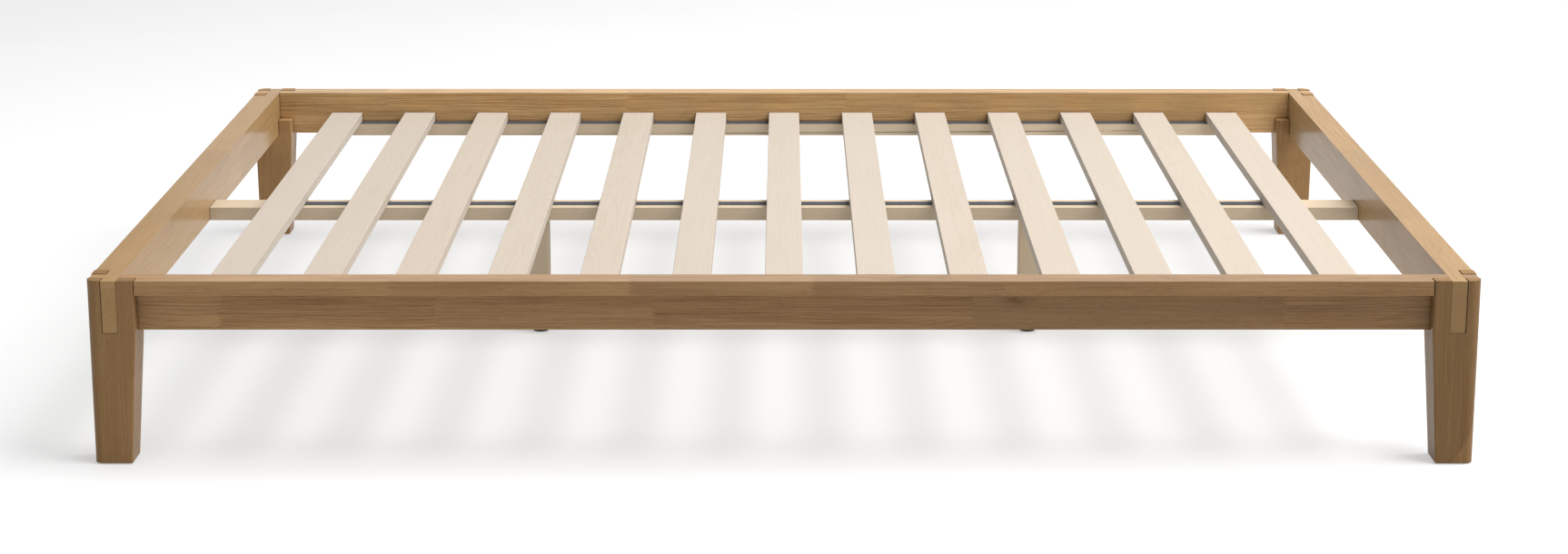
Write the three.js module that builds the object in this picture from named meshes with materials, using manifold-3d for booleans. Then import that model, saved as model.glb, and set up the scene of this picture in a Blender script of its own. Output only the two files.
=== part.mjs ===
/**
 * Platform bed frame in solid wood. Millimetres, +Z up.
 * Origin: on the floor, under the middle of the frame. +X runs along the side rails, +Y to the rear.
 *
 * The side rails and the end rails cross in half-laps near the corners, and each crossing drops
 * into the cross-shaped slot of a leg, so the outer frame needs no metal fittings. Ledges screwed
 * inside the side rails and a beam doweled between the end rails carry a set of loose slats, which
 * lie on fabric tapes. Two short legs with levelling feet stand under the beam.
 */
import * as THREE from 'three';
import { mergeVertices } from 'three/addons/utils/BufferGeometryUtils.js';
import Module from 'manifold-3d';

const wasm = await Module();
wasm.setup();

// Overall sizes
const frameLength = 2134; // between the outer planes of the end rails
const frameWidth = 1626; // between the outer planes of the side rails
const railTop = 292; // floor to the top of the rails

// Clearances
const gap = 0.3; // between pieces that touch
const slotPlay = 1; // the free side of a leg slot, towards the outside of the frame
const stripPlay = 1; // between a rail's upper strip and the leg beside it
const cutBeyond = 5; // how far a cutting shape runs past the face that it opens

// Fineness of the mesh
const mergeTolerance = 1e-4; // corners closer than this are one corner
const hardwareSides = 20; // flats round a pin, bore or foot
const screwSides = 12;
const cornerSteps = 6; // flats round the outermost edge of a leg
const easingSteps = 2;

// Rails
const railThickness = 46;
const boardThickness = 24; // lower board, flush with the rail's inner face
const railHeight = 82;
const stripHeight = 23; // upper strip, over the rail's whole thickness

// Corner legs
const legWidth = 73;
const legProud = 1; // legs stand this far outside the rails, and above them
const legCornerRadius = 17; // the outermost upright edge
const legEasing = 3; // the other three upright edges
const innerTaper = 14; // how far an inner face leans out, from the rails down to the floor
const innerProngDrop = 12; // inner prong, below the top of the slats

// Felt pads under the corner legs
const padRadius = 20;
const padHeight = 1.5;

// Slats
const slatCount = 13;
const slatWidth = 61;
const slatThickness = 17.5;
const slatEasing = 1;
const slatEndPlay = 1; // slat end to rail
const outerSlatMargin = 106.1; // inner face of an end rail to the nearest slat

// Ledges and beam
const ledgeDepth = 28;
const ledgeHeight = 23;
const ledgeInset = 10; // ledge end, inside the outer edge of the last slat
const beamWidth = 65;
const beamHeight = 23;
const beamEndPlay = 0.5;

// Tapes
const tapeWidth = 25;
const tapeThickness = 1;
const tapeInset = 15; // tape end, inside the outer edge of the last slat
const tapeFromRail = 1.5;

// Centre legs and levelling feet
const centreLegSpacing = 877;
const centreLegWidth = 36; // along X
const centreLegDepth = 50; // along Y
const centreLegEasing = 2;
const footRadius = 15;
const footHeight = 8;
const footTravelUp = 6; // free height between the foot and its leg
const footSocketDepth = 5;
const footChamfer = 1.5;
const footShoulder = 5; // height of the foot's outer rim
const footHubRadius = 7;

// Threaded hardware, without its threads
const studRadius = 4;
const studLength = 36;
const boltLength = 44;
const boltInLeg = 30;
const insertRadius = 6;
const footInsertLength = 20;
const beamInsertLength = 14;
const boreBeyond = 6; // free depth past the end of a stud

// Dowels in the beam ends
const dowelRadius = 4;
const dowelLength = 28;
const dowelSpacing = 32;

// Ledge screws
const screwLength = 44;
const screwRadius = 2.1;
const screwHeadRadius = 4.3;
const screwHeadHeight = 2.6;
const screwTipLength = 6;
const screwTipRadius = 0.5;
const screwEvery = 3; // a screw under every third slat

// Levels and places that follow from the sizes above
const railBottom = railTop - railHeight;
const recess = railThickness - boardThickness; // lower board, behind the upper strip
const lapHeight = (railTop + railBottom) / 2;
const ledgeTop = railBottom + ledgeHeight;
const tapeBottom = ledgeTop + gap;
const slatBottom = tapeBottom + tapeThickness + gap;
const slatTop = slatBottom + slatThickness;
const beamBottom = ledgeTop - beamHeight;
const legInnerFace = legWidth - legProud; // from the rail's outer plane
const legBottom = padHeight + gap;
const legTop = railTop + legProud;
const footWidth = legWidth - innerTaper; // corner leg at the floor
const innerHalfLength = frameLength / 2 - railThickness;
const innerHalfWidth = frameWidth / 2 - railThickness;
const outerSlatX = innerHalfLength - outerSlatMargin - slatWidth / 2;
const slatPitch = (2 * outerSlatX) / (slatCount - 1);
const slatSetHalf = outerSlatX + slatWidth / 2;
const centreLegBottom = footHeight + footTravelUp;
const boreRadius = studRadius + gap;
const dowelHeight = beamBottom + beamHeight / 2;
const screwLevel = (railBottom + ledgeTop) / 2;

// Finishes
const railWood = { color: 0xa07c56, roughness: 0.42, metalness: 0 };
const slatWood = { color: 0xdccbb4, roughness: 0.6, metalness: 0 };
const beamWood = { color: 0xd2bd9f, roughness: 0.55, metalness: 0 };
const dowelWood = { color: 0xc9ab7c, roughness: 0.7, metalness: 0 };
const tapeFabric = { color: 0x3f454c, roughness: 0.95, metalness: 0 };
const footPlastic = { color: 0x0c0c0c, roughness: 0.5, metalness: 0 };
const padFelt = { color: 0xb9b2a6, roughness: 1, metalness: 0 };
const zincSteel = { color: 0xb8bcc0, roughness: 0.35, metalness: 0.9 };
const brassSteel = { color: 0xa98d4e, roughness: 0.4, metalness: 0.9 };

// ---------------------------------------------------------------- solids

// A closed geometry as a solid for joining and cutting.
function toSolid(geometry) {
  const bare = geometry.clone();
  bare.deleteAttribute('normal');
  bare.deleteAttribute('uv');
  const merged = mergeVertices(bare, mergeTolerance);
  return new wasm.Manifold(new wasm.Mesh({
    numProp: 3,
    vertProperties: merged.attributes.position.array,
    triVerts: new Uint32Array(merged.index.array),
  }));
}

function toGeometry(solid) {
  const mesh = solid.getMesh();
  const geometry = new THREE.BufferGeometry();
  geometry.setAttribute('position', new THREE.BufferAttribute(mesh.vertProperties, 3));
  geometry.setIndex(new THREE.BufferAttribute(mesh.triVerts, 1));
  geometry.computeVertexNormals();
  return geometry;
}

function join(...geometries) {
  return toGeometry(geometries.map(toSolid).reduce((whole, next) => whole.add(next)));
}

function cut(geometry, ...tools) {
  return toGeometry(tools.map(toSolid).reduce((left, tool) => left.subtract(tool), toSolid(geometry)));
}

// A box between two opposite corners, low and high.
function block(low, high) {
  const [width, depth, height] = high.map((value, i) => value - low[i]);
  const [x, y, z] = high.map((value, i) => (value + low[i]) / 2);
  return new THREE.BoxGeometry(width, depth, height).translate(x, y, z);
}

// A round bar along Y from y0 to y1.
function barAlongY(radius, x, z, y0, y1, sides = hardwareSides) {
  return new THREE.CylinderGeometry(radius, radius, y1 - y0, sides).translate(x, (y0 + y1) / 2, z);
}

// A round bar along X from x0 to x1.
function barAlongX(radius, y, z, x0, x1) {
  const bar = new THREE.CylinderGeometry(radius, radius, x1 - x0, hardwareSides).rotateZ(Math.PI / 2);
  return bar.translate((x0 + x1) / 2, y, z);
}

// An upright round bar from z0 to z1.
function barAlongZ(radius, x, y, z0, z1) {
  const bar = new THREE.CylinderGeometry(radius, radius, z1 - z0, hardwareSides).rotateX(Math.PI / 2);
  return bar.translate(x, y, (z0 + z1) / 2);
}

// A body turned about the Z axis from a profile of [radius, height] points.
function turned(profile) {
  const points = profile.map(([radius, height]) => new THREE.Vector2(radius, height));
  return new THREE.LatheGeometry(points, hardwareSides).rotateX(Math.PI / 2);
}

// An upright tube with its lower end at z0.
function tube(outer, inner, x, y, z0, length) {
  const profile = [[inner, 0], [outer, 0], [outer, length], [inner, length], [inner, 0]];
  return turned(profile).translate(x, y, z0);
}

// A right-angled outline whose corners [x, y, radius], listed anticlockwise, are rounded off.
function roundedShape(corners, steps) {
  const points = [];
  corners.forEach(([x, y, radius], i) => {
    const corner = new THREE.Vector2(x, y);
    const [beforeX, beforeY] = corners.at(i - 1);
    const [afterX, afterY] = corners[(i + 1) % corners.length];
    const toBefore = new THREE.Vector2(beforeX, beforeY).sub(corner).setLength(radius);
    const toAfter = new THREE.Vector2(afterX, afterY).sub(corner).setLength(radius);
    for (let step = 0; step <= steps; step += 1) {
      const turn = (step / steps) * (Math.PI / 2);
      const point = corner.clone().add(toBefore).add(toAfter);
      point.addScaledVector(toAfter, -Math.cos(turn)).addScaledVector(toBefore, -Math.sin(turn));
      points.push(point);
    }
  });
  return new THREE.Shape(points);
}

function add(parent, name, geometry, finish) {
  const mesh = new THREE.Mesh(geometry, new THREE.MeshStandardMaterial(finish));
  mesh.name = name;
  parent.add(mesh);
}

// ---------------------------------------------------------------- rails

// Rails, ledges and their screws are drawn in a side's own frame: x along the rail, y from the
// rail's outer plane inwards, z up.

// The L-shaped bar. Its upper strip stops at the legs, and its board runs on to the ends.
function railBar(length) {
  const half = length / 2;
  const stripHalf = half - legInnerFace - stripPlay;
  const board = block([-half, recess, railBottom], [half, railThickness, railTop]);
  const strip = block([-stripHalf, 0, railTop - stripHeight], [stripHalf, railThickness, railTop]);
  return join(board, strip);
}

// The two notches where the crossing rails pass, between levels z0 and z1.
function lapNotches(length, z0, z1) {
  return [-1, 1].map((end) => {
    const near = end * (length / 2 - recess + gap);
    const far = end * (length / 2 - railThickness - gap);
    const low = [Math.min(near, far), recess - cutBeyond, z0];
    const high = [Math.max(near, far), railThickness + cutBeyond, z1];
    return block(low, high);
  });
}

const screwPlaces = [];
for (let i = 0; i < slatCount; i += screwEvery) {
  screwPlaces.push(-outerSlatX + i * slatPitch);
}

const ledgeFront = railThickness + gap;
const ledgeBack = ledgeFront + ledgeDepth;
const screwTip = ledgeBack - screwLength;

function sideRail() {
  const laps = lapNotches(frameLength, lapHeight - gap / 2, railTop + cutBeyond);
  const pilots = screwPlaces.map((x) => (
    barAlongY(screwRadius + gap, x, screwLevel, screwTip - gap, railThickness + cutBeyond, screwSides)
  ));
  return cut(railBar(frameLength), ...laps, ...pilots);
}

function endRail() {
  const laps = lapNotches(frameWidth, railBottom - cutBeyond, lapHeight + gap / 2);
  const bores = [-1, 1].map((side) => {
    const x = (side * dowelSpacing) / 2;
    const depth = railThickness - dowelLength / 2 - gap;
    return barAlongY(dowelRadius + gap, x, dowelHeight, depth, railThickness + cutBeyond);
  });
  return cut(railBar(frameWidth), ...laps, ...bores);
}

function ledge() {
  const half = slatSetHalf - ledgeInset;
  const bar = block([-half, ledgeFront, railBottom], [half, ledgeBack, ledgeTop]);
  const holes = screwPlaces.map((x) => (
    barAlongY(screwRadius + gap, x, screwLevel, ledgeFront - cutBeyond, ledgeBack + cutBeyond, screwSides)
  ));
  const sinks = screwPlaces.map((x) => {
    const depth = screwHeadHeight + gap;
    const cone = new THREE.CylinderGeometry(screwHeadRadius + gap, screwRadius + gap, depth, screwSides);
    return cone.translate(x, ledgeBack - depth / 2 + gap / 2, screwLevel);
  });
  const mouths = screwPlaces.map((x) => (
    barAlongY(screwHeadRadius + gap, x, screwLevel, ledgeBack, ledgeBack + cutBeyond, screwSides)
  ));
  return cut(bar, ...holes, ...sinks.map((sink, i) => join(sink, mouths[i])));
}

// A countersunk screw lying along y, its flat head level with the ledge's inner face.
function ledgeScrew(x) {
  const profile = [
    [0, 0],
    [screwTipRadius, 0],
    [screwRadius, screwTipLength],
    [screwRadius, screwLength - screwHeadHeight],
    [screwHeadRadius, screwLength],
    [0, screwLength],
  ];
  const points = profile.map(([radius, along]) => new THREE.Vector2(radius, along));
  return new THREE.LatheGeometry(points, screwSides).translate(x, screwTip, screwLevel);
}

function ledgeTape() {
  const half = slatSetHalf - tapeInset;
  const near = railThickness + tapeFromRail;
  return block([-half, near, tapeBottom], [half, near + tapeWidth, tapeBottom + tapeThickness]);
}

// ---------------------------------------------------------------- corner legs

// A leg in its corner's frame: x and y run inwards from the outer planes of the two rails.
function cornerLeg() {
  const outer = -legProud;
  const corners = [
    [outer, outer, legCornerRadius],
    [legInnerFace, outer, legEasing],
    [legInnerFace, legInnerFace, legEasing],
    [outer, legInnerFace, legEasing],
  ];
  const shape = roundedShape(corners, cornerSteps);
  const post = new THREE.ExtrudeGeometry(shape, { depth: 2, steps: 2, bevelEnabled: false });
  const levels = [legBottom, railBottom, legTop];
  const place = post.attributes.position;
  const taper = (value) => outer + ((value - outer) * footWidth) / legWidth;
  for (let i = 0; i < place.count; i += 1) {
    const level = Math.round(place.getZ(i));
    place.setZ(i, levels[level]);
    if (level === 0) {
      place.setX(i, taper(place.getX(i)));
      place.setY(i, taper(place.getY(i)));
    }
  }
  const slotLow = recess - slotPlay;
  const slotHigh = railThickness + gap;
  const reachLow = outer - cutBeyond;
  const reachHigh = legInnerFace + cutBeyond;
  const floor = railBottom - gap;
  const ceiling = legTop + cutBeyond;
  const alongY = block([slotLow, reachLow, floor], [slotHigh, reachHigh, ceiling]);
  const alongX = block([reachLow, slotLow, floor], [reachHigh, slotHigh, ceiling]);
  const prongTop = slatTop - innerProngDrop;
  const prongCut = block([railThickness, railThickness, prongTop], [reachHigh, reachHigh, ceiling]);
  return cut(post, alongY, alongX, prongCut);
}

function legPad() {
  const centre = footWidth / 2 - legProud;
  return barAlongZ(padRadius, centre, centre, 0, padHeight);
}

// ---------------------------------------------------------------- slats, beam and centre legs

function slat(x) {
  const halfWidth = slatWidth / 2;
  const halfThickness = slatThickness / 2;
  const section = roundedShape([
    [-halfWidth, -halfThickness, slatEasing],
    [halfWidth, -halfThickness, slatEasing],
    [halfWidth, halfThickness, slatEasing],
    [-halfWidth, halfThickness, slatEasing],
  ], easingSteps);
  const length = 2 * (innerHalfWidth - slatEndPlay);
  const bar = new THREE.ExtrudeGeometry(section, { depth: length, bevelEnabled: false });
  return bar.translate(0, 0, -length / 2).rotateX(Math.PI / 2).translate(x, 0, slatBottom + halfThickness);
}

const centreLegPlaces = { left: -centreLegSpacing / 2, right: centreLegSpacing / 2 };

function centreBeam() {
  const half = innerHalfLength - beamEndPlay;
  const bar = block([-half, -beamWidth / 2, beamBottom], [half, beamWidth / 2, ledgeTop]);
  const dowelBores = [-1, 1].flatMap((side) => [
    barAlongX(dowelRadius + gap, (side * dowelSpacing) / 2, dowelHeight, -half - cutBeyond, dowelInner(-1)),
    barAlongX(dowelRadius + gap, (side * dowelSpacing) / 2, dowelHeight, dowelInner(1), half + cutBeyond),
  ]);
  const insertBores = Object.values(centreLegPlaces).map((x) => (
    barAlongZ(insertRadius + gap, x, 0, beamBottom - cutBeyond, beamBottom + beamInsertLength + 2 * gap)
  ));
  return cut(bar, ...dowelBores, ...insertBores);
}

// How deep the dowel bores reach into the beam, at its left end (-1) or right end (1).
function dowelInner(end) {
  return end * (innerHalfLength - dowelLength / 2 - gap);
}

// A dowel in a side's own frame, half in the end rail and half in the beam.
function beamDowel(side) {
  const low = railThickness - dowelLength / 2;
  return barAlongY(dowelRadius, (side * dowelSpacing) / 2, dowelHeight, low, low + dowelLength);
}

function centreLeg(x) {
  const halfWidth = centreLegWidth / 2;
  const halfDepth = centreLegDepth / 2;
  const section = roundedShape([
    [x - halfWidth, -halfDepth, centreLegEasing],
    [x + halfWidth, -halfDepth, centreLegEasing],
    [x + halfWidth, halfDepth, centreLegEasing],
    [x - halfWidth, halfDepth, centreLegEasing],
  ], easingSteps);
  const top = beamBottom - gap;
  const post = new THREE.ExtrudeGeometry(section, { depth: top - centreLegBottom, bevelEnabled: false });
  post.translate(0, 0, centreLegBottom);
  const studTop = studBottom + studLength + footTravelUp + boreBeyond;
  const insertTop = centreLegBottom + footInsertLength + 2 * gap;
  return cut(
    post,
    barAlongZ(boreRadius, x, 0, centreLegBottom - cutBeyond, studTop),
    barAlongZ(insertRadius + gap, x, 0, centreLegBottom - cutBeyond, insertTop),
    barAlongZ(boreRadius, x, 0, boltBottom - gap, top + cutBeyond),
  );
}

const studBottom = footHeight - footSocketDepth + gap;
const boltBottom = beamBottom - boltInLeg;

function levellingFoot() {
  const socket = footHeight - footSocketDepth;
  return turned([
    [0, 0],
    [footRadius - footChamfer, 0],
    [footRadius, footChamfer],
    [footRadius, footShoulder],
    [footRadius - 2 * footChamfer, footShoulder + footChamfer],
    [footHubRadius, footShoulder + footChamfer],
    [footHubRadius, footHeight],
    [boreRadius, footHeight],
    [boreRadius, socket],
    [0, socket],
  ]);
}

// ---------------------------------------------------------------- the frame

const bed = new THREE.Group();

// A group at the middle of one side, turned so that its y runs inwards.
function sideGroup(turn, x, y) {
  const group = new THREE.Group();
  group.rotation.z = turn;
  group.position.set(x, y, 0);
  bed.add(group);
  return group;
}

const longSides = {
  front: sideGroup(0, 0, -frameWidth / 2),
  rear: sideGroup(Math.PI, 0, frameWidth / 2),
};
for (const [side, group] of Object.entries(longSides)) {
  add(group, `${side}_rail`, sideRail(), railWood);
  add(group, `${side}_ledge`, ledge(), beamWood);
  add(group, `slat_tape_${side}`, ledgeTape(), tapeFabric);
  screwPlaces.forEach((x, i) => {
    add(group, `${side}_ledge_screw_${i + 1}`, ledgeScrew(x), zincSteel);
  });
}

const shortSides = {
  left: sideGroup(-Math.PI / 2, -frameLength / 2, 0),
  right: sideGroup(Math.PI / 2, frameLength / 2, 0),
};
for (const [side, group] of Object.entries(shortSides)) {
  add(group, `${side}_end_rail`, endRail(), railWood);
  add(group, `beam_dowel_${side}_1`, beamDowel(-1), dowelWood);
  add(group, `beam_dowel_${side}_2`, beamDowel(1), dowelWood);
}

// The four legs are one shape, turned a quarter from corner to corner.
const corners = [
  ['front_left', -1, -1],
  ['front_right', 1, -1],
  ['rear_right', 1, 1],
  ['rear_left', -1, 1],
];
corners.forEach(([corner, sideX, sideY], quarter) => {
  const group = sideGroup((quarter * Math.PI) / 2, (sideX * frameLength) / 2, (sideY * frameWidth) / 2);
  add(group, `leg_${corner}`, cornerLeg(), railWood);
  add(group, `leg_pad_${corner}`, legPad(), padFelt);
});

for (let i = 0; i < slatCount; i += 1) {
  const number = String(i + 1).padStart(2, '0');
  add(bed, `slat_${number}`, slat(-outerSlatX + i * slatPitch), slatWood);
}

const middleTapeHalf = slatSetHalf - tapeInset;
const middleTape = block(
  [-middleTapeHalf, -tapeWidth / 2, tapeBottom],
  [middleTapeHalf, tapeWidth / 2, tapeBottom + tapeThickness],
);
add(bed, 'centre_beam', centreBeam(), beamWood);
add(bed, 'slat_tape_middle', middleTape, tapeFabric);

const insertTopInBeam = beamBottom + gap;
for (const [side, x] of Object.entries(centreLegPlaces)) {
  add(bed, `centre_leg_${side}`, centreLeg(x), beamWood);
  add(bed, `levelling_foot_${side}`, levellingFoot().translate(x, 0, 0), footPlastic);
  add(bed, `foot_stud_${side}`, barAlongZ(studRadius, x, 0, studBottom, studBottom + studLength), zincSteel);
  const footInsert = tube(insertRadius, boreRadius, x, 0, centreLegBottom + gap, footInsertLength);
  add(bed, `foot_insert_${side}`, footInsert, brassSteel);
  add(bed, `beam_bolt_${side}`, barAlongZ(studRadius, x, 0, boltBottom, boltBottom + boltLength), zincSteel);
  const beamInsert = tube(insertRadius, boreRadius, x, 0, insertTopInBeam, beamInsertLength);
  add(bed, `beam_insert_${side}`, beamInsert, brassSteel);
}

export default bed;
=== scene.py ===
"""Looks for the wooden bed frame: eased edges, procedural materials, studio and camera."""

import math

import bpy
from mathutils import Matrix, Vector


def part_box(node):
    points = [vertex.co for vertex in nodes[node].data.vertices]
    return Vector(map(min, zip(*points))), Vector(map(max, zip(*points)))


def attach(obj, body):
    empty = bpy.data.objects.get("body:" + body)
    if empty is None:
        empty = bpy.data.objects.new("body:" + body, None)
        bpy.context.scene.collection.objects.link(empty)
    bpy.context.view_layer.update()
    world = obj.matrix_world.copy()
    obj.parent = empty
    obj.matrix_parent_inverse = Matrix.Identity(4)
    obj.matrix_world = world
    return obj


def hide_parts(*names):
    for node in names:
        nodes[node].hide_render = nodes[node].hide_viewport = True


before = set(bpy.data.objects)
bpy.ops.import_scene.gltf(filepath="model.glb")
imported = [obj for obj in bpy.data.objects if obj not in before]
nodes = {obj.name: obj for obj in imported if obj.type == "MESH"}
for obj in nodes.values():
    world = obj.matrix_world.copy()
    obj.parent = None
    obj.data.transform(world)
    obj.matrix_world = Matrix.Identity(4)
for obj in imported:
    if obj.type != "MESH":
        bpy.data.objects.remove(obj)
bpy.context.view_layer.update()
SLATS = sorted(name for name in nodes if name.startswith("slat_") and "tape" not in name)

# ---------------------------------------------------------------- camera, light and floor

CAMERA_PLACE = (0, -5.4026, 1.4343)
CAMERA_PITCH = -13.893  # degrees from level
LENS = 71.098

# each soft light's name, place, width, height and power
LIGHTS = (
    ("key", (4.1, -0.93, 5.5), 6.0, 6.0, 780),
    ("overhead", (0, 0.3, 6.0), 6.0, 6.0, 262),
    ("back", (2.8, 8.7, 2.4), 12.7, 3.0, 68),
)
WORLD_COLOUR = (0.27, 0.27, 0.273)
FLOOR_REACH = 30
FLOOR_GLOW = 0.40


def add_to_scene(thing):
    bpy.context.scene.collection.objects.link(thing)


def add_camera():
    data = bpy.data.cameras.new("camera")
    data.lens = LENS
    camera = bpy.data.objects.new("camera", data)
    camera.location = CAMERA_PLACE
    camera.rotation_euler = (math.radians(90 + CAMERA_PITCH), 0, 0)
    add_to_scene(camera)
    bpy.context.scene.camera = camera


def add_area_light(name, place, width, height, power):
    """A soft rectangular light that faces the middle of the bed."""
    data = bpy.data.lights.new(name, "AREA")
    data.shape = "RECTANGLE"
    data.size = width
    data.size_y = height
    data.energy = power
    light = bpy.data.objects.new(name, data)
    light.location = place
    light.rotation_euler = light.location.to_track_quat("Z", "Y").to_euler()
    light.visible_camera = False
    add_to_scene(light)


def add_world():
    world = bpy.data.worlds.new("studio")
    world.use_nodes = True
    world.node_tree.nodes["Background"].inputs["Color"].default_value = (*WORLD_COLOUR, 1)
    bpy.context.scene.world = world


def add_floor(material):
    corners = [(x * FLOOR_REACH, y * FLOOR_REACH, 0) for x, y in ((-1, -1), (1, -1), (1, 1), (-1, 1))]
    mesh = bpy.data.meshes.new("floor")
    mesh.from_pydata(corners, [], [(0, 1, 2, 3)])
    mesh.materials.append(material)
    floor = bpy.data.objects.new("floor", mesh)
    add_to_scene(floor)


# ---------------------------------------------------------------- shader building


class Shader:
    """One node material, built with short calls. Every value may be a number or another node's socket."""

    def __init__(self, name):
        self.material = bpy.data.materials.new(name)
        self.material.use_nodes = True
        self.tree = self.material.node_tree
        self.surface = self.tree.nodes["Principled BSDF"]
        coordinates = self.node("TexCoord")
        self.place = coordinates.outputs["Object"]
        self.normal = coordinates.outputs["Normal"]

    def node(self, kind, inputs=None, **settings):
        made = self.tree.nodes.new("ShaderNode" + kind)
        for name, value in settings.items():
            setattr(made, name, value)
        for key, value in (inputs or {}).items():
            self.put(made.inputs[key], value)
        return made

    def put(self, socket, value):
        if isinstance(value, bpy.types.NodeSocket):
            self.tree.links.new(value, socket)
        else:
            socket.default_value = value

    def math(self, operation, *values, clamp=False):
        made = self.node("Math", dict(enumerate(values)), operation=operation, use_clamp=clamp)
        return made.outputs[0]

    def vector(self, operation, *values, output=0):
        made = self.node("VectorMath", dict(enumerate(values)), operation=operation)
        return made.outputs[output]

    def total(self, *values):
        result = values[0]
        for value in values[1:]:
            result = self.math("ADD", result, value)
        return result

    def range(self, value, low, high, to_low=0.0, to_high=1.0):
        """Maps low..high smoothly to to_low..to_high."""
        made = self.node(
            "MapRange",
            {"Value": value, "From Min": low, "From Max": high, "To Min": to_low, "To Max": to_high},
            interpolation_type="SMOOTHSTEP",
        )
        return made.outputs["Result"]

    def split(self, vector):
        return self.node("SeparateXYZ", {0: vector}).outputs

    def join(self, x, y, z):
        return self.node("CombineXYZ", {0: x, 1: y, 2: z}).outputs[0]

    def noise(self, vector, detail=2.0, roughness=0.5, scale=1.0):
        made = self.node(
            "TexNoise", {"Vector": vector, "Scale": scale, "Detail": detail, "Roughness": roughness}
        )
        return made.outputs["Fac"]

    def random(self, *values):
        """Three random numbers from 0 to 1, fixed by three given ones."""
        made = self.node("TexWhiteNoise", {"Vector": self.join(*values)}, noise_dimensions="3D")
        return self.split(made.outputs["Color"])

    def mix(self, factor, first, second, blend="MIX"):
        made = self.node("Mix", data_type="RGBA", blend_type=blend)
        sockets = [s for s in made.inputs if s.enabled]
        for socket, value in zip(sockets, (factor, first, second)):
            if isinstance(value, tuple):
                value = (*value, 1.0)
            self.put(socket, value)
        return [s for s in made.outputs if s.enabled][0]

    def bump(self, height, distance, strength):
        made = self.node("Bump", {"Height": height, "Distance": distance, "Strength": strength})
        self.put(self.surface.inputs["Normal"], made.outputs[0])

    def set(self, **values):
        """Sets the surface's own sockets; an underscore in a name stands for a space."""
        for name, value in values.items():
            if isinstance(value, tuple):
                value = (*value, 1.0)
            self.put(self.surface.inputs[name.replace("_", " ")], value)


# ---------------------------------------------------------------- wood

# each kind of wood: its light and its dark colour
BROWN = ((0.348, 0.210, 0.094), (0.182, 0.093, 0.034))
GOLDEN = ((0.346, 0.223, 0.101), (0.182, 0.100, 0.038))
PALE = ((0.462, 0.409, 0.350), (0.367, 0.311, 0.252))
CREAM = ((0.500, 0.417, 0.308), (0.400, 0.318, 0.220))

# for a grain along that axis: which axes run along the fibres, across them and up
GRAIN_AXES = {"X": (0, 1, 2), "Y": (1, 0, 2), "Z": (2, 0, 1)}

FINGER_PITCH = 0.0028
FINGER_LENGTH = 0.010

# marks in the wood: their usual length along the fibres and width across them
WANDER = (0.55, 0.16)
RIPPLE = (0.09, 0.035)
PATCH = (0.30, 0.05)
STREAK = (0.16, 0.0034)
FIBRE = (0.03, 0.0009)
PORE = (0.011, 0.00055)
FLECK = (0.022, 0.0026)

# growth rings: their pitch, how far wander and ripple bend them, and the range of the heart's place
RING_PITCH = 0.0042
RING_SHARPNESS = 2.2
WANDER_BEND = 0.060
RIPPLE_BEND = 0.0045
HEART_ACROSS = (0.10, -0.05)
HEART_UP = (0.05, 0.035)

# a knot: its squeeze along the fibres, the reach and pull on the rings in radii, and how dark it is
KNOT_SQUEEZE = 0.45
KNOT_REACH = 5
KNOT_PULL = 2.2
KNOT_CORE = 0.75
KNOT_HALO = 0.22

# depth of colour, from the light colour at 0 to the dark one at 1; a pair is a gain and an offset
BASE_DEPTH = 0.38
RING_DEPTH = (0.46, -0.12)
STREAK_DEPTH = (0.62, -0.22)
FIGURE_DEPTH = (0.75, 0.35)
FIBRE_DEPTH = 0.40
PORE_DEPTH = 0.45
PATCH_DEPTH = 0.80
BLOCK_DEPTH = 0.14

WARM_SHARE = 0.30
WARM_TINT = (1.0, 0.93, 0.86)
FLECK_TINT = (0.90, 0.80, 0.72)

# painted shade in gaps and inside corners, from ambient occlusion: its reach, the openness at which it starts
# and is full, its tint
PAINTED_SHADE_REACH = 0.006
PAINTED_SHADE_CLEAR = 0.80
PAINTED_SHADE_SHUT = 0.42
PAINTED_SHADE_TINT = (0.30, 0.24, 0.20)


def glued_blocks(s, axes, glue_line, joints, slant, base_tone):
    """The number of the board, the number of the block in it, and the block's tone, which on some pieces
    also holds painted light and shade.
    """
    along, across, up = axes
    board = s.math("GREATER_THAN", s.split(s.place)[2], glue_line) if glue_line else 0.0
    zigzag = s.math("MULTIPLY", s.math("PINGPONG", up, FINGER_PITCH), FINGER_LENGTH / FINGER_PITCH)
    edge = s.math("MULTIPLY_ADD", across, -slant, s.math("ADD", along, zigzag))
    block = 0.0
    tone = base_tone
    for index, places in enumerate(joints):
        last = base_tone
        for place, after in places:
            passed = s.math("GREATER_THAN", edge, place)
            if glue_line:
                same_board = board if index else s.math("SUBTRACT", 1.0, board)
                passed = s.math("MULTIPLY", passed, same_board)
            block = s.math("ADD", passed, block)
            tone = s.math("MULTIPLY_ADD", passed, after - last, tone)
            last = after
    return board, block, tone


def heart_distance(s, across, up, chance, wander, ripple):
    """How far a point is from the tree's heart, which lies elsewhere for every block."""
    bend = s.math("MULTIPLY_ADD", wander, WANDER_BEND, s.math("MULTIPLY", ripple, RIPPLE_BEND))
    aside = s.math("ADD", across, s.math("MULTIPLY_ADD", chance[2], *HEART_ACROSS))
    above = s.math("ADD", up, s.math("MULTIPLY_ADD", chance[1], *HEART_UP))
    squares = s.total(s.math("POWER", aside, 2.0), s.math("POWER", above, 2.0))
    return s.math("ADD", s.math("SQRT", squares), bend)


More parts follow.
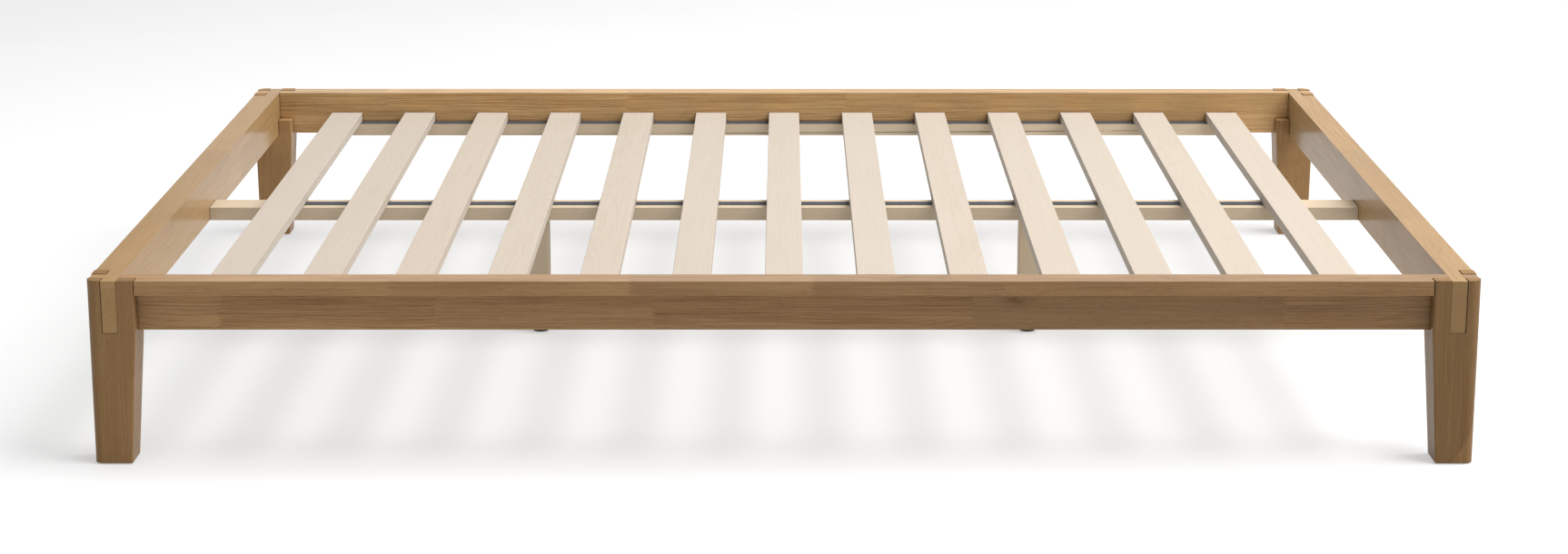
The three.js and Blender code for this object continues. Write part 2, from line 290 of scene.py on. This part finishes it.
def bend_around_knots(s, radius, knots, grain):
    """The heart distance with the rings drawn around each knot, and how much the knots darken the wood."""
    squeeze = tuple(KNOT_SQUEEZE if axis == GRAIN_AXES[grain][0] else 1.0 for axis in range(3))
    shade = 0.0
    for *place, size in knots:
        away = s.vector("MULTIPLY", s.vector("SUBTRACT", s.place, place), squeeze)
        distance = s.vector("LENGTH", away, output="Value")
        pull = s.range(distance, 0.0, size * KNOT_REACH, 1.0, 0.0)
        core = s.range(distance, size * 0.5, size, 1.0, 0.0)
        radius = s.math("MULTIPLY_ADD", pull, size * KNOT_PULL, radius)
        shade = s.total(shade, s.math("MULTIPLY", core, KNOT_CORE), s.math("MULTIPLY", pull, KNOT_HALO))
    return radius, shade


def late_wood(s, radius, chance):
    """The dark part of each growth ring, stronger in some years than in others."""
    ring = s.math("MULTIPLY", radius, 1 / RING_PITCH)
    wave = s.math("MULTIPLY_ADD", s.math("SINE", s.math("MULTIPLY", ring, math.tau)), 0.5, 0.5)
    year = s.noise(s.join(s.math("MULTIPLY", ring, 0.23), chance[0], 0.0), detail=1.0)
    return s.math("MULTIPLY", s.math("POWER", wave, RING_SHARPNESS), s.range(year, 0.3, 0.75, 0.15, 1.0))


def wood(
    name,
    centre,
    grain,
    seed,
    colours=BROWN,
    contrast=1.0,
    glue_line=None,
    joints=((), ()),
    slant=0.0,
    cell=None,
    knots=(),
    base_tone=1.0,
    end_tone=1.06,
    roughness=0.42,
    coat=0.6,
    flecks=0.55,
    seams=0.8,
):
    """Solid wood whose fibres run along one axis.

    Two boards are glued up at glue_line, a height. Each is finger-jointed end to end at its list in joints,
    (place, tone after it), the lower board first. slant is how far a joint climbs along the fibres for each
    metre across them. cell is the pitch of separate pieces that share the material. knots are (x, y, z,
    radius). A tone scales the colour, and the end grain's tone scales it further on end grain. Besides the
    wood's own tone, on some pieces these tones hold painted light and shade: faces made lighter or darker as
    if the lamps fell on them differently, with the end grain's tone taking some of it back. The painted
    shade strength paints shade in gaps and inside corners, from ambient occlusion."""
    s = Shader(name)
    local = s.split(s.vector("SUBTRACT", s.place, centre))
    along, across, up = (local[axis] for axis in GRAIN_AXES[grain])
    board, block, tone = glued_blocks(s, (along, across, up), glue_line, joints, slant, base_tone)
    if cell:
        block = s.math("FLOOR", s.math("MULTIPLY_ADD", across, 1 / cell, 0.5))
        across = s.math("MULTIPLY_ADD", block, -cell, across)
    chance = s.random(block, board, seed)
    shifted = s.math("MULTIPLY_ADD", chance[0], 9.0, along)
    turned = s.math("MULTIPLY_ADD", chance[1], 3.0, across)

    def mark(size, detail, roughness=0.5):
        """Noise with cells of that length along the fibres and that width across them."""
        length, width = size
        cells = s.join(
            s.math("MULTIPLY", shifted, 1 / length),
            s.math("MULTIPLY", turned, 1 / width),
            s.math("MULTIPLY", up, 1 / width),
        )
        return s.noise(cells, detail, roughness)

    def around_zero(value, amount):
        return s.math("MULTIPLY_ADD", value, amount, -amount / 2)

    radius = heart_distance(s, across, up, chance, mark(WANDER, 2.0), mark(RIPPLE, 1.0))
    radius, knot_shade = bend_around_knots(s, radius, knots, grain)
    late = late_wood(s, radius, chance)
    streak = s.range(mark(STREAK, 3.0, 0.6), 0.3, 0.72)
    fibre = mark(FIBRE, 2.0, 0.65)
    pores = s.range(mark(PORE, 1.0), 0.64, 0.74)
    fleck = s.range(mark(FLECK, 2.0, 0.6), 0.52, 0.72)

    grainy = s.total(
        s.math("MULTIPLY_ADD", late, *RING_DEPTH), s.math("MULTIPLY_ADD", streak, *STREAK_DEPTH)
    )
    figure = s.math("MULTIPLY_ADD", chance[0], *FIGURE_DEPTH)
    depth = s.total(
        BASE_DEPTH,
        s.math("MULTIPLY", grainy, s.math("MULTIPLY", figure, contrast)),
        around_zero(fibre, FIBRE_DEPTH * contrast),
        s.math("MULTIPLY", pores, PORE_DEPTH * contrast),
        around_zero(mark(PATCH, 2.0), PATCH_DEPTH * contrast),
        around_zero(chance[2], BLOCK_DEPTH * contrast),
        knot_shade,
    )
    colour = s.mix(s.math("ADD", depth, 0.0, clamp=True), *colours)
    colour = s.mix(s.math("MULTIPLY", chance[0], WARM_SHARE), colour, WARM_TINT, "MULTIPLY")
    colour = s.mix(s.math("MULTIPLY", fleck, flecks), colour, FLECK_TINT, "MULTIPLY")

    facing = s.math("ABSOLUTE", s.split(s.normal)[GRAIN_AXES[grain][0]])
    end_grain = s.range(facing, 0.6, 0.95)
    # the tone, with painted light and shade on some pieces, scaled again on end grain
    tone = s.math("MULTIPLY", tone, s.math("MULTIPLY_ADD", end_grain, end_tone - 1, 1.0))
    colour = s.mix(1.0, colour, s.join(tone, tone, tone), "MULTIPLY")
    # painted shade: darkens the colour where ambient occlusion finds the surface closed in, in gaps and
    # inside corners
    if seams:
        openness = s.node("AmbientOcclusion", {"Distance": PAINTED_SHADE_REACH}, samples=4).outputs["AO"]
        seam = s.math("MULTIPLY", s.range(openness, PAINTED_SHADE_CLEAR, PAINTED_SHADE_SHUT, 0.0, 1.0), seams)
        colour = s.mix(seam, colour, PAINTED_SHADE_TINT, "MULTIPLY")

    s.set(
        Base_Color=colour,
        Roughness=s.math("MULTIPLY_ADD", streak, 0.10, s.math("MULTIPLY_ADD", end_grain, 0.2, roughness)),
        Specular_IOR_Level=0.06,
        Coat_Weight=coat,
        Coat_IOR=1.3,
        Coat_Roughness=0.16,
    )
    relief = s.total(
        s.math("MULTIPLY", fibre, 0.5), s.math("MULTIPLY", late, 0.35), s.math("MULTIPLY", pores, -0.9)
    )
    s.bump(relief, distance=0.00012, strength=0.6)
    return s.material


# ---------------------------------------------------------------- other finishes


def plastic(name):
    """Black moulded plastic with a fine pitted grain."""
    s = Shader(name)
    grain = s.noise(s.place, detail=3.0, scale=1400.0)
    scuff = s.noise(s.place, detail=2.0, scale=90.0)
    s.set(
        Base_Color=s.mix(scuff, (0.009, 0.009, 0.010), (0.018, 0.018, 0.019)),
        Roughness=s.math("MULTIPLY_ADD", scuff, 0.18, 0.38),
    )
    s.bump(grain, distance=0.0001, strength=0.5)
    return s.material


def felt(name):
    """Dark grey pressed felt with matted hairs."""
    s = Shader(name)
    hair = s.noise(s.place, detail=4.0, roughness=0.7, scale=1800.0)
    cloud = s.noise(s.place, detail=2.0, scale=160.0)
    s.set(
        Base_Color=s.mix(s.math("MULTIPLY", hair, cloud), (0.11, 0.105, 0.10), (0.30, 0.29, 0.28)),
        Roughness=0.95,
        Sheen_Weight=0.5,
    )
    s.bump(hair, distance=0.0004, strength=0.8)
    return s.material


def metal(name, bright, dull):
    """Plated metal with faint cloudy tarnish."""
    s = Shader(name)
    cloud = s.noise(s.place, detail=3.0, scale=220.0)
    fine = s.noise(s.place, detail=2.0, scale=2600.0)
    s.set(
        Base_Color=s.mix(cloud, bright, dull),
        Metallic=1.0,
        Roughness=s.math("MULTIPLY_ADD", cloud, 0.2, 0.22),
    )
    s.bump(fine, distance=0.00004, strength=0.4)
    return s.material


RIB_PITCH = 0.0016
YARN_PITCH = 0.0014


def webbing(name):
    """Dark blue-grey woven tape: a plain weave seen as rows of small crowned crossings."""
    s = Shader(name)
    place = s.split(s.place)
    rib = s.math("SINE", s.math("MULTIPLY", place[0], math.tau / RIB_PITCH))
    yarn = s.math("SINE", s.math("MULTIPLY", place[1], math.tau / YARN_PITCH))
    weave = s.math("MULTIPLY_ADD", s.math("MULTIPLY", rib, yarn), 0.5, 0.5)
    fuzz = s.noise(s.place, detail=3.0, roughness=0.7, scale=1500.0)
    level = s.math("MULTIPLY_ADD", fuzz, 0.5, s.math("MULTIPLY", weave, 0.5))
    s.set(
        Base_Color=s.mix(level, (0.010, 0.012, 0.018), (0.034, 0.040, 0.054)),
        Roughness=0.85,
        Sheen_Weight=0.1,
    )
    s.bump(s.math("ADD", weave, fuzz), distance=0.0003, strength=0.8)
    return s.material


def floor_finish(name):
    """Pale studio floor with a barely visible mottle."""
    s = Shader(name)
    cloud = s.noise(s.place, detail=3.0, scale=1.7)
    s.set(
        Base_Color=s.mix(cloud, (0.42, 0.42, 0.42), (0.45, 0.45, 0.447)),
        Roughness=0.9,
        Specular_IOR_Level=0.0,
        Emission_Color=(1.0, 1.0, 1.0),
        Emission_Strength=FLOOR_GLOW,
    )
    return s.material


# ---------------------------------------------------------------- edges

MERGE_DISTANCE = 0.00001
FLAT_ANGLE = math.radians(0.5)
EDGE_ANGLE = math.radians(35)
EDGE_SEGMENTS = 3

# how wide the eased edges are
RAIL_EDGE = 0.0009
LEG_EDGE = 0.0014
SLAT_EDGE = 0.0004
BEAM_EDGE = 0.001


def smoothing_group():
    """A geometry group that joins a mesh's split corners and shades it smooth, without its stored normals."""
    group = bpy.data.node_groups.new("joined_and_smooth", "GeometryNodeTree")
    for direction in ("INPUT", "OUTPUT"):
        group.interface.new_socket("Geometry", in_out=direction, socket_type="NodeSocketGeometry")
    kinds = (
        "NodeGroupInput",
        "GeometryNodeMergeByDistance",
        "GeometryNodeRemoveAttribute",
        "GeometryNodeSetShadeSmooth",
        "NodeGroupOutput",
    )
    start, merge, drop, smooth, end = (group.nodes.new(kind) for kind in kinds)
    merge.inputs["Distance"].default_value = MERGE_DISTANCE
    drop.inputs["Name"].default_value = "custom_normal"
    for before, after in ((start, merge), (merge, drop), (drop, smooth), (smooth, end)):
        group.links.new(before.outputs["Geometry"], after.inputs["Geometry"])
    return group


SMOOTHING = smoothing_group()


def ease(node, width):
    """Rounds a node's sharp edges by a bevel of that width, and keeps its large faces looking flat."""
    joined = node.modifiers.new("joined", "NODES")
    joined.node_group = SMOOTHING
    flat = node.modifiers.new("flat_faces", "DECIMATE")
    flat.decimate_type = "DISSOLVE"
    flat.angle_limit = FLAT_ANGLE
    if width:
        bevel = node.modifiers.new("eased_edges", "BEVEL")
        bevel.width = width
        bevel.segments = EDGE_SEGMENTS
        bevel.limit_method = "ANGLE"
        bevel.angle_limit = EDGE_ANGLE
        bevel.miter_outer = "MITER_ARC"
    shading = node.modifiers.new("flat_shading", "WEIGHTED_NORMAL")
    shading.weight = 100


def dress(name, material, edge=0.0):
    node = nodes[name]
    node.material_slots[0].material = material
    ease(node, edge)


def middle(name):
    low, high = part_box(name)
    return tuple((a + b) / 2 for a, b in zip(low, high))


def dress_in_wood(name, edge, **look):
    """Gives one piece a wood of its own."""
    dress(name, wood(name + "_wood", middle(name), **look), edge)


# ---------------------------------------------------------------- slat tapes

TAPE_CORDS = 11
POINTS_PER_CORD = 4
CORD_RELIEF = 0.00012
TAPE_MARGIN = 0.00015
TAPE_ROW = 0.012
TAPE_BODY = 0.86  # thickness between the woven edges, as a share of theirs
TAPE_WAVE = TAPE_MARGIN * 0.8
WAVE_STEP = 1.7
WAVE_PHASE = 40


def add_tape(cad_name, material):
    """A woven tape with cords along its length and thicker edges, in the place of its plain CAD solid."""
    low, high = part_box(cad_name)
    length, width = high[0] - low[0], high[1] - low[1]
    columns = TAPE_CORDS * POINTS_PER_CORD
    rows = round(length / TAPE_ROW)
    half = (high[2] - low[2]) / 2 - TAPE_MARGIN - CORD_RELIEF
    centre = (low[2] + high[2]) / 2
    points = []
    for side in (1, -1):
        for row in range(rows + 1):
            x = low[0] + length * row / rows
            wave = TAPE_WAVE * math.sin(row * WAVE_STEP + low[1] * WAVE_PHASE)
            for column in range(columns + 1):
                y = low[1] + width * column / columns
                from_edge = min(column, columns - column)
                share = 1.0 if from_edge < POINTS_PER_CORD else TAPE_BODY
                crown = abs(math.sin(math.pi * column / POINTS_PER_CORD))
                thick = (half * share if from_edge else 0.0) + CORD_RELIEF * crown
                points.append((x, y, centre + wave + side * thick))
    across = columns + 1
    layer = across * (rows + 1)
    faces = []
    for row in range(rows):
        for column in range(columns):
            a = row * across + column
            faces.append((a + 1, a + across + 1, a + across, a))
            b = a + layer
            faces.append((b, b + across, b + across + 1, b + 1))
    for end in (0, rows):
        for column in range(columns):
            a = end * across + column
            face = (a, a + 1, a + 1 + layer, a + layer)
            faces.append(face if end else face[::-1])
    mesh = bpy.data.meshes.new(cad_name + "_cloth")
    mesh.from_pydata(points, [], faces)
    mesh.materials.append(material)
    tape = bpy.data.objects.new(cad_name + "_cloth", mesh)
    add_to_scene(tape)
    weld = tape.modifiers.new("joined", "WELD")
    weld.merge_threshold = MERGE_DISTANCE
    mesh.shade_smooth()
    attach(tape, "slat_deck")
    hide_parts(cad_name)


# ---------------------------------------------------------------- the bed

# heights at which the rails are glued up from two boards
GLUE_LINE = 0.269
REAR_GLUE_LINE = 0.257
SLAT_PITCH = 0.1474

END_RAIL_LOOKS = {
    "left_end_rail": {"seed": 3.0, "end_tone": 1.06},
    "right_end_rail": {"seed": 4.0, "end_tone": 0.77},
}
# besides each leg's own tone, the tones paint shade: the front right leg is painted darker on its sides
# against the lamp from the right, and lighter again on its top through its end grain's tone
LEG_LOOKS = {
    "leg_front_left": {"seed": 5.0, "base_tone": 0.85, "end_tone": 0.92, "joints": (((0.002, 0.799),), ())},
    "leg_front_right": {
        "seed": 6.0,
        "base_tone": 0.72,
        "end_tone": 1.25,
        "joints": (((-0.140, 0.619),), ()),
        "slant": 1.6,
    },
    "leg_rear_right": {"seed": 7.0, "base_tone": 0.99, "end_tone": 1.10, "joints": (((0.002, 0.931),), ())},
    "leg_rear_left": {"seed": 8.0, "base_tone": 1.04, "end_tone": 1.05},
}
BEAM_LOOKS = {
    "front_ledge": {"grain": "X", "seed": 12.0},
    "rear_ledge": {"grain": "X", "seed": 13.0, "joints": (((-0.28, 1.06), (0.39, 1.14)), ())},
    "centre_beam": {"grain": "X", "seed": 14.0},
    "centre_leg_left": {"grain": "Z", "seed": 15.0, "base_tone": 1.04},
    "centre_leg_right": {"grain": "Z", "seed": 16.0, "base_tone": 1.14},
}


def dress_side_rails():
    dress_in_wood(
        "front_rail",
        RAIL_EDGE,
        grain="X",
        seed=1.0,
        # painted light as well as each block's own tone: the tones step down from the left end to the right,
        # as if light fell on the front face from the left
        base_tone=1.14,
        glue_line=GLUE_LINE,
        flecks=0.8,
        joints=(
            ((-0.863, 1.15), (-0.53, 1.06), (-0.196, 0.95), (0.295, 0.86), (0.775, 0.87)),
            ((-0.60, 1.06), (-0.23, 0.93), (0.05, 0.85), (0.34, 0.91)),
        ),
        knots=((0.352, -0.791, 0.2585, 0.0035), (0.360, -0.791, 0.254, 0.003)),
    )
    # painted light: the rear rail's tones lighten the whole rail, as if more light fell on its inner face;
    # the end grain's low tone keeps this lift off its ends
    dress_in_wood(
        "rear_rail",
        RAIL_EDGE,
        grain="X",
        seed=2.0,
        colours=GOLDEN,
        base_tone=1.46,
        end_tone=0.72,
        glue_line=REAR_GLUE_LINE,
        joints=(
            ((-0.72, 1.66), (-0.2, 1.62), (0.43, 1.58)),
            ((-0.80, 1.62), (-0.31, 1.56), (0.13, 1.50), (0.62, 1.50)),
        ),
        knots=((-0.43, 0.79, 0.292, 0.0035),),
    )


def dress_end_rails():
    for name, look in END_RAIL_LOOKS.items():
        dress_in_wood(
            name,
            RAIL_EDGE,
            grain="Y",
            colours=GOLDEN,
            contrast=0.42,
            base_tone=1.08,
            coat=0.42,
            glue_line=GLUE_LINE,
            joints=(((-0.25, 1.10), (0.31, 1.02)), ((-0.38, 1.02), (0.2, 1.10))),
            **look,
        )


def dress_corner_legs():
    for name, look in LEG_LOOKS.items():
        dress_in_wood(name, LEG_EDGE, grain="Z", contrast=0.5, coat=0.2, flecks=0.8, **look)


def dress_slats():
    slat_wood = wood(
        "slat_wood",
        middle("slat_07"),
        grain="Y",
        seed=11.0,
        colours=PALE,
        contrast=0.30,
        cell=SLAT_PITCH,
        roughness=0.55,
        coat=0.0,
        flecks=0.12,
        seams=0.0,
    )
    for name in SLATS:
        dress(name, slat_wood, SLAT_EDGE)


def dress_ledges_and_beam():
    for name, look in BEAM_LOOKS.items():
        dress_in_wood(
            name,
            BEAM_EDGE,
            colours=CREAM,
            contrast=0.45,
            roughness=0.55,
            coat=0.0,
            flecks=0.2,
            seams=0.0,
            **look,
        )


def dress_small_parts():
    dowel_wood = wood("dowel_wood", (0, 0, 0), grain="X", seed=17.0, colours=PALE, roughness=0.6, coat=0.0)
    zinc = metal("zinc", (0.62, 0.63, 0.65), (0.42, 0.43, 0.45))
    brass = metal("brass", (0.72, 0.52, 0.22), (0.50, 0.35, 0.14))
    finishes = {
        "leg_pad": felt("grey_felt"),
        "levelling_foot": plastic("black_plastic"),
        "beam_dowel": dowel_wood,
        "insert": brass,
        "stud": zinc,
        "bolt": zinc,
        "screw": zinc,
    }
    for name in sorted(nodes):
        for word, finish in finishes.items():
            if word in name:
                dress(name, finish)


def replace_tapes():
    tape_cloth = webbing("tape_cloth")
    for name in sorted(nodes):
        if name.startswith("slat_tape"):
            add_tape(name, tape_cloth)


add_camera()
add_world()
for light in LIGHTS:
    add_area_light(*light)
dress_side_rails()
dress_end_rails()
dress_corner_legs()
dress_slats()
dress_ledges_and_beam()
dress_small_parts()
replace_tapes()
add_floor(floor_finish("floor_finish"))

bpy.context.scene.view_settings.view_transform = "Standard"
